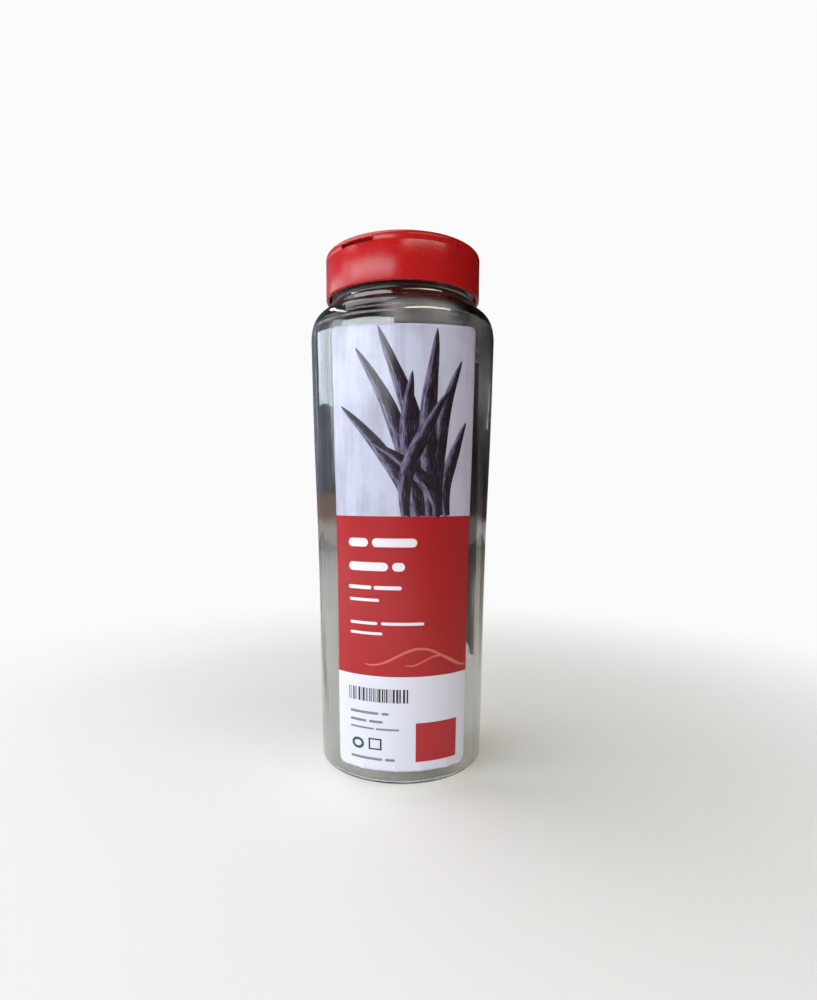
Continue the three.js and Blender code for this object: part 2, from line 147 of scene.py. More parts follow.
def soft_box(name, azimuth, elevation, width, height, brightness, colour):
    """A flat soft light that faces the jar. Azimuth is from the viewer's side (-Y), growing to the right."""
    a, e = math.radians(azimuth), math.radians(elevation)
    out = Vector((math.sin(a) * math.cos(e), -math.cos(a) * math.cos(e), math.sin(e)))
    lamp = bpy.data.lights.new(name, "AREA")
    lamp.shape = "RECTANGLE"
    lamp.size = width
    lamp.size_y = height
    lamp.color = colour
    lamp.energy = brightness * math.pi * width * height
    light = bpy.data.objects.new(name, lamp)
    light.location = ROOM_MIDDLE + out * LIGHT_DISTANCE
    light.rotation_euler = (-out).to_track_quat("-Z", "Y").to_euler()
    light.visible_camera = False
    bpy.context.scene.collection.objects.link(light)


def table_material():
    """Pale paint that the viewer sees fade out. Mirrored in the jar, it turns browner to the right."""
    material = bpy.data.materials.new("pale_table")
    material.use_nodes = True
    tree = material.node_tree
    tree.nodes.clear()
    place = node(tree, "ShaderNodeTexCoord").outputs["Object"]
    distance = node(tree, "ShaderNodeVectorMath", {0: place}, operation="LENGTH").outputs["Value"]
    across = node(tree, "ShaderNodeSeparateXYZ", {0: place}).outputs["X"]
    viewed = node(tree, "ShaderNodeLightPath").outputs["Is Camera Ray"]
    mirrored = maths(tree, "SUBTRACT", 1.0, viewed)
    clear = maths(tree, "MULTIPLY", smooth_step(tree, distance, TABLE_FADE_FROM, TABLE_FADE_TO), viewed)
    browner = maths(tree, "MULTIPLY", smooth_step(tree, across, BROWNER_FROM, BROWNER_TO), mirrored)
    paint = node(
        tree, "ShaderNodeBsdfDiffuse", {"Color": colour_mix(tree, browner, TABLE_PAINT, TABLE_BROWNER)}
    )
    gone = node(tree, "ShaderNodeBsdfTransparent")
    mixed = node(tree, "ShaderNodeMixShader", {0: clear, 1: paint.outputs[0], 2: gone.outputs[0]})
    node(tree, "ShaderNodeOutputMaterial", {"Surface": mixed.outputs[0]})
    return material


table_corners = [(-1, -1), (1, -1), (1, 1), (-1, 1)]
table_top = add_mesh(
    "table_top", [(x * TABLE_REACH, y * TABLE_REACH, 0) for x, y in table_corners], [(0, 1, 2, 3)]
)
table_top.data.materials.append(table_material())

for lamp in LAMPS:
    soft_box(*lamp)


def room_light():
    """A dim room hung with upright folds: bluish at the left, near black at the right, brown low down."""
    world = bpy.data.worlds.new("room")
    world.use_nodes = True
    tree = world.node_tree
    tree.nodes.clear()
    way = node(tree, "ShaderNodeTexCoord").outputs["Generated"]
    parts = node(tree, "ShaderNodeSeparateXYZ", {0: way}).outputs

    def toward(axis, start, end, a, b):
        """One colour passing into another as the view turns along an axis."""
        return colour_mix(tree, smooth_step(tree, parts[axis], start, end), a, b)

    walls = toward("X", -0.6, 0.1, ROOM_LEFT, ROOM_RIGHT)
    room = toward("Y", 0.2, -0.6, walls, ROOM_FRONT)
    folds = scaled(tree, noise(tree, drawn_up(tree, way, 0.06), 13, 2), 0.35, 0.65, 0.45, 1.5)
    folded = colour_times(tree, room, folds)
    walled = colour_times(tree, folded, toward("Z", 0.30, 0.50, ROOM_PLAIN, ROOM_UPPER))
    brown = toward("X", -0.3, 0.3, SKIRTING_LEFT, SKIRTING_RIGHT)
    skirting = toward("Z", 0.001, -0.009, walled, brown)
    all_round = toward("Z", -0.038, -0.054, skirting, ROOM_FLOOR)
    inside = node(tree, "ShaderNodeBackground", {"Color": all_round, "Strength": 1.0})
    behind = node(tree, "ShaderNodeBackground", {"Color": BACKDROP, "Strength": 1.0})
    viewed = node(tree, "ShaderNodeLightPath").outputs["Is Camera Ray"]
    mixed = node(tree, "ShaderNodeMixShader", {0: viewed, 1: inside.outputs[0], 2: behind.outputs[0]})
    node(tree, "ShaderNodeOutputWorld", {"Surface": mixed.outputs[0]})
    bpy.context.scene.world = world


room_light()
bpy.context.scene.view_settings.view_transform = "Standard"
bpy.context.scene.cycles.use_denoising = True

# ---- the camera ----
# A short lens held close to the jar, a little above its middle and looking down. The shift keeps the whole
# jar in the frame without tilting the camera up.
IMAGE_WIDTH = 817
IMAGE_HEIGHT = 1000
FOCAL_PIXELS = 602.6
PRINCIPAL_POINT = (401.65, 640.0)
CAMERA_DISTANCE = 291.3 * MM
CAMERA_HEIGHT = 131.7 * MM
CAMERA_TILT_DOWN = 13.66
CAMERA_ROLL = 0.18

lens = bpy.data.cameras.new("camera")
lens.sensor_fit = "AUTO"
lens.sensor_width = 36
lens.lens = 36 * FOCAL_PIXELS / IMAGE_HEIGHT
lens.shift_x = (IMAGE_WIDTH / 2 - PRINCIPAL_POINT[0]) / IMAGE_HEIGHT
lens.shift_y = (PRINCIPAL_POINT[1] - IMAGE_HEIGHT / 2) / IMAGE_HEIGHT
lens.clip_start = 0.01
lens.clip_end = 20
camera = bpy.data.objects.new("camera", lens)
camera.location = (0, -CAMERA_DISTANCE, CAMERA_HEIGHT)
camera.rotation_euler = (
    Matrix.Rotation(math.radians(90 - CAMERA_TILT_DOWN), 4, "X")
    @ Matrix.Rotation(math.radians(CAMERA_ROLL), 4, "Z")
).to_euler()
bpy.context.scene.collection.objects.link(camera)
bpy.context.scene.camera = camera

# ---- the jar ----
# A one-litre spice jar of clear PET, stretch-blown from a moulded neck: a thin wall that draws in a little
# behind the label, a soft shoulder, a rounded heel and a base pushed up in the middle. It is one piece, and
# the shoulder's front has a faint smeary bloom.
JAR_SEGMENTS = 240
BODY_RADIUS = 40.1 * MM
WAIST_DEPTH = 0.48 * MM
WAIST_FROM = 25 * MM
WAIST_TO = 172 * MM
WALL = 0.9 * MM
FLOOR_WALL = 1.3 * MM
FOOT_INNER_RADIUS = 20 * MM
FOOT_OUTER_RADIUS = 29 * MM
PUSH_UP = 3.6 * MM
HEEL_HEIGHT = 4.8 * MM
SHOULDER_FROM = 199.3 * MM
SHOULDER_HEIGHT = 7.8 * MM
NECK_RADIUS = 30.9 * MM
NECK_WALL = 1.5 * MM
SHOULDER_TOP = SHOULDER_FROM + SHOULDER_HEIGHT
BEND_FROM = 195.2 * MM
BEND_PER_MM = 0.026
BEND_END = 12.0
COLLAR_RADIUS = 31.9 * MM
COLLAR_TOP = 209.2 * MM
NECK_FROM = 211.2 * MM
RIM = 223.9 * MM
RIM_EASE = 0.3 * MM
COLLAR_FILLET = 0.5 * MM
COLLAR_EDGE = 0.4 * MM
COLLAR_DRAFT = 0.06 * MM
NECK_FILLET = (0.1 * MM, 0.2 * MM)
DOME_POWER = 1.6
BODY_STEP = 3 * MM
BEND_STEP = 0.5 * MM
FLOW_SEED = 11
FLOW_MARKS = 9
FLOW_FROM = 12 * MM
FLOW_GROWS_OVER = 20 * MM
FLOW_ENDS_OVER_SHOULDER = 4 * MM
FLOW_FADES_OVER = 16 * MM
FLOW_DEPTH_OUTSIDE = 0.012 * MM
FLOW_DEPTH_INSIDE = 0.035 * MM
DRAW_LINE_DEPTH = 0.10 * MM
PET_IOR = 1.57
PET_TINT = (0.74, 0.74, 0.725, 1)
THICK_NECK_TINT = (0.46, 0.48, 0.46, 1)
THICK_FROM = 204.5 * MM
THICK_TO = 207.5 * MM
LAMP_TINT = (0.90, 0.90, 0.895, 1)
BLOOM_FOOT = (193 * MM, 197 * MM)
BLOOM_TOP = (205.5 * MM, 201.5 * MM)
BLOOM_MIDDLE = 7 * MM
BLOOM_SIDES = (19 * MM, 9 * MM)
BLOOM_STRENGTH = (0.05, 0.19)


def body_radius(z):
    if z > BEND_FROM:
        return BODY_RADIUS - BEND_PER_MM * ((z - BEND_FROM) / MM) ** 2 * MM
    if z <= WAIST_FROM or z >= WAIST_TO:
        return BODY_RADIUS
    t = (z - WAIST_FROM) / (WAIST_TO - WAIST_FROM)
    return BODY_RADIUS - WAIST_DEPTH * 0.5 * (1 - math.cos(2 * math.pi * t))


def around(radius, degrees, z):
    """The point at a radius, an angle round the jar from the label's middle, and a height."""
    a = math.radians(degrees)
    return Vector((radius * math.sin(a), -radius * math.cos(a), z))


def arc(centre_r, centre_z, half_width, half_height, start, end, steps):
    """Part of an ellipse as (radius, height) pairs."""
    points = []
    for i in range(steps + 1):
        a = math.radians(start + (end - start) * i / steps)
        points.append((centre_r + half_width * math.cos(a), centre_z + half_height * math.sin(a)))
    return points


def turned(name, profile, segments, ripple=None):
    """A piece turned on a lathe: (radius, height) pairs that start and end on the axis, or a closed loop."""
    points = []
    rows = []
    for index, (r, z) in enumerate(profile):
        if r < 1e-7:
            rows.append([len(points)])
            points.append(Vector((0, 0, z)))
            continue
        row = []
        for s in range(segments):
            degrees = 360 * s / segments
            grown = r + (ripple(index, degrees, z) if ripple else 0)
            row.append(len(points))
            points.append(around(grown, degrees, z))
        rows.append(row)
    closed = len(rows[0]) > 1
    faces = []
    pairs = list(zip(rows, rows[1:])) + ([(rows[-1], rows[0])] if closed else [])
    for low, high in pairs:
        for s in range(segments):
            t = (s + 1) % segments
            if len(low) == 1:
                faces.append((low[0], high[t], high[s]))
            elif len(high) == 1:
                faces.append((low[s], low[t], high[0]))
            else:
                faces.append((low[s], low[t], high[t], high[s]))
    return add_mesh(name, points, faces)


def wall_heights(low, high, step):
    count = max(2, round((high - low) / step))
    return [low + (high - low) * i / count for i in range(count + 1)]


def jar_profile():
    """The outside from the base's middle to the rim, and the inside back down, as (radius, height) pairs."""
    straight = wall_heights(HEEL_HEIGHT, BEND_FROM, BODY_STEP)
    bend = wall_heights(BEND_FROM, SHOULDER_FROM, BEND_STEP)
    heights = straight + bend[1:]
    turn = math.radians(BEND_END)
    rise = SHOULDER_HEIGHT / (1 - math.sin(turn))
    shoulder_z = SHOULDER_TOP - rise
    shoulder_width = (body_radius(SHOULDER_FROM) - COLLAR_RADIUS) / math.cos(turn)
    heel_width = BODY_RADIUS - FOOT_OUTER_RADIUS
    fillet_r, fillet_z = COLLAR_RADIUS + COLLAR_FILLET, SHOULDER_TOP + COLLAR_FILLET
    dome = [
        (FOOT_INNER_RADIUS * math.sin(a), PUSH_UP * math.cos(a) ** DOME_POWER)
        for a in (math.radians(9 * i) for i in range(10))
    ]
    outside = [
        *dome,
        *arc(FOOT_OUTER_RADIUS, HEEL_HEIGHT, heel_width, HEEL_HEIGHT, -90, -4, 16),
        *[(body_radius(z), z) for z in heights],
        *arc(COLLAR_RADIUS, shoulder_z, shoulder_width, rise, BEND_END + 3, 84, 26),
        *arc(fillet_r, fillet_z, COLLAR_FILLET, COLLAR_FILLET, 255, 180, 6),
        (COLLAR_RADIUS, COLLAR_TOP - COLLAR_EDGE),
        (COLLAR_RADIUS - COLLAR_DRAFT, COLLAR_TOP),
        (NECK_RADIUS + NECK_FILLET[0], NECK_FROM - NECK_FILLET[1]),
        (NECK_RADIUS, NECK_FROM),
        (NECK_RADIUS, RIM - RIM_EASE),
        (NECK_RADIUS - RIM_EASE, RIM),
    ]
    bore = NECK_RADIUS - NECK_WALL
    inner_width = body_radius(SHOULDER_FROM) - WALL - bore
    inside = [
        (bore + RIM_EASE, RIM),
        (bore, RIM - RIM_EASE),
        (bore, NECK_FROM),
        *arc(bore, SHOULDER_FROM, inner_width, SHOULDER_HEIGHT - NECK_WALL, 90, 3, 24),
        *[(body_radius(z) - WALL, z) for z in reversed(heights)],
        *arc(FOOT_OUTER_RADIUS, HEEL_HEIGHT, heel_width - WALL, HEEL_HEIGHT - FLOOR_WALL, -4, -90, 16),
        *[(r, z + FLOOR_WALL) for r, z in reversed(dome)],
    ]
    return outside, inside


def surface(name):
    """A new material, with its node tree, its shader and the coordinates on the piece."""
    material = bpy.data.materials.new(name)
    material.use_nodes = True
    tree = material.node_tree
    return material, tree, tree.nodes["Principled BSDF"], node(tree, "ShaderNodeTexCoord").outputs


def bump(tree, height, strength, distance):
    raised = {"Height": height, "Strength": strength, "Distance": distance}
    return node(tree, "ShaderNodeBump", raised).outputs["Normal"]


def bloom_weight(tree, place):
    """How much of the smeary bloom lies at a place: some at the shoulder's front, none elsewhere."""
    parts = node(tree, "ShaderNodeSeparateXYZ", {0: place}).outputs
    low = smooth_step(tree, parts["Z"], *BLOOM_FOOT)
    high = smooth_step(tree, parts["Z"], *BLOOM_TOP)
    off_middle = maths(tree, "SUBTRACT", parts["X"], BLOOM_MIDDLE)
    to_side = node(tree, "ShaderNodeMath", {0: off_middle}, operation="ABSOLUTE").outputs[0]
    near = maths(tree, "MULTIPLY", high, smooth_step(tree, to_side, *BLOOM_SIDES))
    smears = scaled(tree, noise(tree, place, 75, 3), 0.3, 0.7, *BLOOM_STRENGTH)
    return maths(tree, "MULTIPLY", maths(tree, "MULTIPLY", low, smears), near)


def clear_pet_material():
    """Clear, slightly grey plastic with faint upright draw lines, greyer in the thick neck. Lamps shine
    through it."""
    material, tree, shader, coordinates = surface("clear_pet")
    place = coordinates["Object"]
    shader.inputs["IOR"].default_value = PET_IOR
    haze = noise(tree, drawn_up(tree, place, 0.12), 60, 4, 0.6)
    tree.links.new(scaled(tree, haze, 0.35, 0.75, 0.015, 0.06), shader.inputs["Roughness"])
    draw_lines = noise(tree, drawn_up(tree, place, 0.035), 420, 2)
    tree.links.new(bump(tree, draw_lines, 1.0, DRAW_LINE_DEPTH), shader.inputs["Normal"])
    clear = maths(tree, "SUBTRACT", 1.0, bloom_weight(tree, place))
    tree.links.new(clear, shader.inputs["Transmission Weight"])
    height = node(tree, "ShaderNodeSeparateXYZ", {0: place}).outputs["Z"]
    thick = smooth_step(tree, height, THICK_FROM, THICK_TO)
    tree.links.new(colour_mix(tree, thick, PET_TINT, THICK_NECK_TINT), shader.inputs["Base Color"])
    light_passes = node(tree, "ShaderNodeBsdfTransparent", {"Color": LAMP_TINT}).outputs[0]
    shadow = node(tree, "ShaderNodeLightPath").outputs["Is Shadow Ray"]
    mixed = node(tree, "ShaderNodeMixShader", {0: shadow, 1: shader.outputs[0], 2: light_passes})
    tree.links.new(mixed.outputs[0], tree.nodes["Material Output"].inputs["Surface"])
    return material


outside, inside = jar_profile()
flow = random.Random(FLOW_SEED)
flow_marks = [
    (flow.randint(4, 17), flow.uniform(0, 360), flow.uniform(8, 30), flow.uniform(0.4, 1))
    for _ in range(FLOW_MARKS)
]


def blown_wall(index, degrees, z):
    """The wall's unevenness: upright flow marks, faint outside and stronger inside, none at neck and foot."""
    grown = (z - FLOW_FROM) / FLOW_GROWS_OVER
    left = (SHOULDER_FROM + FLOW_ENDS_OVER_SHOULDER - z) / FLOW_FADES_OVER
    body = min(1, max(0, grown), max(0, left))
    if body <= 0:
        return 0
    swing = sum(
        size * math.sin(math.radians(degrees * count + start) + z / MM / reach)
        for count, start, reach, size in flow_marks
    )
    depth = FLOW_DEPTH_OUTSIDE if index < len(outside) else FLOW_DEPTH_INSIDE
    return depth * body * swing


jar = turned("jar_shell", outside + inside, JAR_SEGMENTS, blown_wall)
clear_pet = clear_pet_material()
jar.data.materials.append(clear_pet)
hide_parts("jar")
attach(jar, "jar")

# ---- the screw cap ----
# One moulding of glossy red polypropylene: a smooth skirt that screws over the neck, a deck with two D-shaped
# pouring mouths in it, and a fixed bar across the top that both lids hinge on.
CAP_SEGMENTS = 240
CAP_BOTTOM = 212.0 * MM
CAP_TOP = 230.3 * MM
DECK = 225.9 * MM
CAP_RADIUS_LOW = 33.15 * MM
CAP_RADIUS = 32.9 * MM
CAP_INNER_RADIUS = 31.6 * MM
CAP_WALL = 1.4 * MM
ROLLED_EDGE_WIDTH = 6.0 * MM
ROLLED_EDGE_HEIGHT = 2.7 * MM
SKIRT_LIP = 0.45 * MM
SKIRT_LIP_ROUND = (0.1 * MM, 0.13 * MM)
NOTCH_ANGLE = -33.8
BAR_HALF_WIDTH = 7.5 * MM
BAR_ROOT = 0.5 * MM
MOUTH_RADIUS = 24.5 * MM
MOUTH_FROM_BAR = 4.0 * MM
D_PLATE_STEPS = 72
PAST = 5 * MM  # cutting solids run this much past the face that they cut
CAP_EASE = 0.16 * MM
SHARP_OVER = 32
EASED_OVER = 38
MERGED_WITHIN = 0.004 * MM
RED_DEEP = (0.43, 0.006, 0.008, 1)
RED_LIGHT = (0.52, 0.010, 0.010, 1)


def smooth_to_angle(piece):
    piece.data.shade_smooth()
    piece.data.set_sharp_from_angle(angle=math.radians(SHARP_OVER))


def baked_down(piece):
    """Applies the piece's modifiers."""
    shape = piece.evaluated_get(bpy.context.evaluated_depsgraph_get())
    finished = bpy.data.meshes.new_from_object(shape)
    piece.modifiers.clear()
    piece.data = finished


def joined_or_cut(piece, tool, operation):
    """Joins another solid to the piece, or cuts the piece by it, and removes that solid."""
    step = piece.modifiers.new("step", "BOOLEAN")
    step.object = tool
    step.operation = operation
    step.solver = "EXACT"
    baked_down(piece)
    bpy.data.objects.remove(tool)


def block(x0, x1, y0, y1, z0, z1):
    corners = [(x, y, z) for x in (x0, x1) for y in (y0, y1) for z in (z0, z1)]
    sides = [(0, 1, 3, 2), (4, 6, 7, 5), (0, 4, 5, 1), (2, 3, 7, 6), (0, 2, 6, 4), (1, 5, 7, 3)]
    return add_mesh("block", corners, sides, smooth=False)


def puck(radius, bottom, top):
    """A disc with the cap's rolled top edge."""
    edge_r, edge_z = radius - ROLLED_EDGE_WIDTH, top - ROLLED_EDGE_HEIGHT
    edge = arc(edge_r, edge_z, ROLLED_EDGE_WIDTH, ROLLED_EDGE_HEIGHT, 0, 90, 14)
    return turned("puck", [(0, bottom), (radius, bottom), *edge, (0, top)], CAP_SEGMENTS)


def d_plate(radius, from_x, z0, z1):
    """A disc cut off by a straight edge at x = from_x, as a plate."""
    half = math.acos(from_x / radius)
    rim = [half * (2 * i / D_PLATE_STEPS - 1) for i in range(D_PLATE_STEPS + 1)]
    low = [(radius * math.cos(a), radius * math.sin(a), z0) for a in rim]
    high = [(x, y, z1) for x, y, _ in low]
    count = len(low)
    sides = [(i, (i + 1) % count, count + (i + 1) % count, count + i) for i in range(count)]
    ends = [tuple(reversed(range(count))), tuple(range(count, 2 * count))]
    return add_mesh("d_plate", low + high, sides + ends, smooth=False)


def eased_edges(piece, width):
    """Rounds every sharp edge a little, as a mould does."""
    tidy = bmesh.new()
    tidy.from_mesh(piece.data)
    bmesh.ops.remove_doubles(tidy, verts=tidy.verts, dist=MERGED_WITHIN)
    bmesh.ops.dissolve_degenerate(tidy, edges=tidy.edges, dist=MERGED_WITHIN)
    tidy.to_mesh(piece.data)
    tidy.free()
    ease = piece.modifiers.new("ease", "BEVEL")
    ease.width = width
    ease.segments = 2
    ease.limit_method = "ANGLE"
    ease.angle_limit = math.radians(EASED_OVER)
    ease.use_clamp_overlap = True
    baked_down(piece)
    smooth_to_angle(piece)
    return piece


def turned_to_notch(piece):
    """From the cap's own axes, whose +X points at the front lid's notch, into the jar's."""
    piece.data.transform(Matrix.Rotation(math.radians(NOTCH_ANGLE - 90), 4, "Z"))
    return piece


def red_plastic_material():
    """Deep warm red, smooth and glossy, with a faint moulding flow and a few fine scuffs."""
    material, tree, shader, coordinates = surface("red_plastic")
    place = coordinates["Object"]
    shader.inputs["IOR"].default_value = 1.5
    shader.inputs["Specular IOR Level"].default_value = 0.37
    red = colour_mix(tree, noise(tree, place, 90, 5), RED_DEEP, RED_LIGHT)
    tree.links.new(red, shader.inputs["Base Color"])
    scuffs = noise(tree, drawn_up(tree, place, 6), 420, 6, 0.7)
    tree.links.new(scaled(tree, scuffs, 0.35, 0.8, 0.19, 0.36), shader.inputs["Roughness"])
    tree.links.new(bump(tree, scuffs, 0.10, 0.05 * MM), shader.inputs["Normal"])
    return material


def cap_body():
    """The skirt and deck, with the bar joined on, the hollow under the bar and both mouths."""
    skirt = turned(
        "cap_shell",
        [
            (0, DECK - CAP_WALL),
            (CAP_INNER_RADIUS, DECK - CAP_WALL),
            (CAP_INNER_RADIUS, CAP_BOTTOM + SKIRT_LIP),
            (CAP_INNER_RADIUS + SKIRT_LIP, CAP_BOTTOM),
            (CAP_RADIUS_LOW - SKIRT_LIP, CAP_BOTTOM),
            (CAP_RADIUS_LOW - SKIRT_LIP_ROUND[0], CAP_BOTTOM + SKIRT_LIP_ROUND[1]),
            (CAP_RADIUS_LOW, CAP_BOTTOM + SKIRT_LIP),
            (CAP_RADIUS, DECK),
            (0, DECK),
        ],
        CAP_SEGMENTS,
    )
    reach = CAP_RADIUS + PAST
    bar = puck(CAP_RADIUS, DECK - BAR_ROOT, CAP_TOP)
    middle_room = block(-BAR_HALF_WIDTH, BAR_HALF_WIDTH, -reach, reach, DECK - PAST, CAP_TOP + PAST)
    joined_or_cut(bar, middle_room, "INTERSECT")
    joined_or_cut(skirt, bar, "UNION")
    pocket = BAR_HALF_WIDTH - CAP_WALL
    joined_or_cut(
        skirt,
        block(-pocket, pocket, -MOUTH_RADIUS, MOUTH_RADIUS, DECK - CAP_WALL - PAST, CAP_TOP - CAP_WALL),
        "DIFFERENCE",
    )
    for half_turn in (0, math.pi):
        mouth = d_plate(MOUTH_RADIUS, BAR_HALF_WIDTH + MOUTH_FROM_BAR, DECK - CAP_WALL - PAST, DECK + PAST)
        mouth.data.transform(Matrix.Rotation(half_turn, 4, "Z"))
        joined_or_cut(skirt, mouth, "DIFFERENCE")
    return turned_to_notch(eased_edges(skirt, CAP_EASE))


red_plastic = red_plastic_material()
cap = cap_body()
cap.data.materials.clear()
cap.data.materials.append(red_plastic)
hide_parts("cap")
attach(cap, "jar")

# ---- the two lids ----
# Red polypropylene like the cap. Each lid covers one mouth, with a thin lip under it that plugs the mouth,
# and swings up on the bar. Each has a thumb notch under its rim, with a small ledge over it to lift by.
LID_GAP = 0.15 * MM
LID_LOW_GAP = 0.05 * MM
NOTCH_HALF_SPAN = 13.4
NOTCH_TOP = 227.3 * MM
NOTCH_DEPTH = 1.6 * MM
LEDGE_PROUD = 0.4 * MM
LEDGE_TOP = 228.5 * MM
LEDGE_ROOT = 3 * MM
LEDGE_ROUND = 0.4
PLUG_HEIGHT = 1.0 * MM
PLUG_WALL = 1.2 * MM
PLUG_GAP = 0.5 * MM
PLUG_ROOT = 0.3 * MM
HINGE_RELIEF = 0.6 * MM
LID_EASE = 0.14 * MM


def lid_body(name):
    """A hollow lid beside the bar, with its plug, its ledge and its notch."""
    from_x = BAR_HALF_WIDTH + LID_GAP
    bottom = DECK + LID_LOW_GAP
    reach = CAP_RADIUS + PAST
    lid = puck(CAP_RADIUS, bottom, CAP_TOP)
    lid.name = name
    joined_or_cut(lid, block(from_x, reach, -reach, reach, bottom - PAST, CAP_TOP + PAST), "INTERSECT")
    hollow_radius = CAP_RADIUS - NOTCH_DEPTH - CAP_WALL
    hollow = d_plate(hollow_radius, from_x + CAP_WALL, bottom - PAST, CAP_TOP - CAP_WALL)
    joined_or_cut(lid, hollow, "DIFFERENCE")
    plug_radius = MOUTH_RADIUS - PLUG_GAP
    plug_from = BAR_HALF_WIDTH + MOUTH_FROM_BAR + PLUG_GAP
    plug = d_plate(plug_radius, plug_from, DECK - PLUG_HEIGHT, CAP_TOP - CAP_WALL + PLUG_ROOT)
    joined_or_cut(
        plug,
        d_plate(plug_radius - PLUG_WALL, plug_from + PLUG_WALL, DECK - PAST, CAP_TOP - CAP_WALL),
        "DIFFERENCE",
    )
    joined_or_cut(lid, plug, "UNION")
    ledge_reach = CAP_RADIUS + LEDGE_PROUD
    ledge_half = ledge_reach * math.sin(math.radians(NOTCH_HALF_SPAN))
    ledge = puck(ledge_reach, bottom, LEDGE_TOP + ROLLED_EDGE_HEIGHT * LEDGE_ROUND)
    ledge_room = block(CAP_RADIUS - LEDGE_ROOT, reach, -ledge_half, ledge_half, bottom - PAST, LEDGE_TOP)
    joined_or_cut(ledge, ledge_room, "INTERSECT")
    joined_or_cut(lid, ledge, "UNION")
    notch_half = CAP_RADIUS * math.sin(math.radians(NOTCH_HALF_SPAN))
    notch_from = CAP_RADIUS * math.cos(math.radians(NOTCH_HALF_SPAN)) - NOTCH_DEPTH
    notch = block(notch_from, reach, -notch_half, notch_half, bottom - PAST, NOTCH_TOP)
    joined_or_cut(lid, notch, "DIFFERENCE")
    relief = block(from_x - PAST, from_x + CAP_WALL, -reach, reach, bottom - PAST, DECK + HINGE_RELIEF)
    joined_or_cut(lid, relief, "DIFFERENCE")
    return eased_edges(lid, LID_EASE)


for side, half_turn in (("front", 0), ("back", math.pi)):
    lid = lid_body(f"flap_{side}_shell")
    lid.data.transform(Matrix.Rotation(half_turn, 4, "Z"))
    turned_to_notch(lid)
    lid.data.materials.clear()
    lid.data.materials.append(red_plastic)
    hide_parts(f"flap_{side}")
    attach(lid, f"flap_{side}")

# ---- the two hinge films ----
# A web of the same red plastic, moulded with the cap and thin enough to fold, joins each lid to the bar along
# its top edge.
FILM_DROP = 0.06 * MM
FILM_THICKNESS = 0.28 * MM
FILM_REACH = 0.5 * MM
FILM_HALF_LENGTH = 25.5 * MM
FILM_STEPS = 10


def hinge_film(side, half_turn):
    """A thin strip across the gap between the bar and one lid."""
    middle = BAR_HALF_WIDTH + LID_GAP / 2
    high = CAP_TOP - FILM_DROP
    low = high - FILM_THICKNESS
    points = []
    for i in range(FILM_STEPS + 1):
        x = middle + FILM_REACH * (2 * i / FILM_STEPS - 1)
        points += [(x, y, z) for y, z in ((-1, low), (1, low), (1, high), (-1, high))]
    points = [(x, y * FILM_HALF_LENGTH, z) for x, y, z in points]
    faces = [(0, 1, 2, 3), tuple(4 * FILM_STEPS + k for k in (3, 2, 1, 0))]
    for i in range(FILM_STEPS):
        for k in range(4):
            a, b = 4 * i + k, 4 * i + (k + 1) % 4
            faces.append((b, a, a + 4, b + 4))
    film = add_mesh(f"hinge_film_{side}", points, faces, smooth=False)
    film.data.transform(Matrix.Rotation(half_turn, 4, "Z"))
    turned_to_notch(film)
    film.data.materials.append(red_plastic)
    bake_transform(film)


for side, half_turn in (("front", 0), ("back", math.pi)):
    hinge_film(side, half_turn)

# ---- the label ----
# A tall paper label with a satin film on it, glued round the front of the jar, with rounded corners. Its foot
# lifts in a few small puckers. A pale picture panel is printed at its top, then a red one, then a white one.
LABEL_BOTTOM = 9.3 * MM
LABEL_TOP_MIDDLE = 194.7 * MM
LABEL_TOP_SIDE = 196.2 * MM
LABEL_FROM = -45.5
LABEL_LEAN = 1.4
LABEL_TO = 46.6
LABEL_OFF_WALL = 0.07 * MM
LABEL_THICKNESS = 0.13 * MM
LABEL_TOP_CORNER = 2.2 * MM
LABEL_BOTTOM_CORNER = 3.6 * MM
PICTURE_FROM = 122.6 * MM
RED_FROM = 53.9 * MM
LABEL_COLUMNS = 160
LABEL_ROWS = 220
PUCKERS = [
    # degrees round, degrees wide, lift
    (-26, 2.2, 0.62 * MM),
    (-4, 1.6, 0.40 * MM),
    (12, 2.0, 0.48 * MM),
    (31, 2.6, 0.66 * MM),
]
PUCKER_HEIGHT = 7 * MM
GROUND_DARK = (0.34, 0.33, 0.40, 1)
GROUND_MIDDLE = (0.475, 0.475, 0.595, 1)
GROUND_LIGHT = (0.58, 0.59, 0.73, 1)
# painted shade: the picture ground turns darker and warmer over this span towards the label's right
PAINTED_SHADE_TINT = (0.98, 0.92, 0.94)
PAINTED_SHADE_FROM = 6 * MM
PAINTED_SHADE_TO = 26 * MM
PRINTED_WHITE = (0.765, 0.765, 0.865, 1)
PRINTED_RED = (0.415, 0.009, 0.013, 1)
BARE_BACK = (0.78, 0.77, 0.74, 1)


def corner_inset(distance, radius):
    if distance >= radius:
        return 0
    return radius - math.sqrt(radius * radius - (radius - distance) ** 2)


def pucker(degrees, z):
    """How far the label's foot lifts off the wall at a place."""
    height = max(0, 1 - (z - LABEL_BOTTOM) / PUCKER_HEIGHT)
    return sum(lift * math.exp(-(((degrees - at) / wide) ** 2)) for at, wide, lift in PUCKERS) * height**2


def on_label(degrees, z, off=0):
    """The point on the label's face at an angle and a height, or a little off it."""
    return around(body_radius(z) + LABEL_OFF_WALL + LABEL_THICKNESS + pucker(degrees, z) + off, degrees, z)


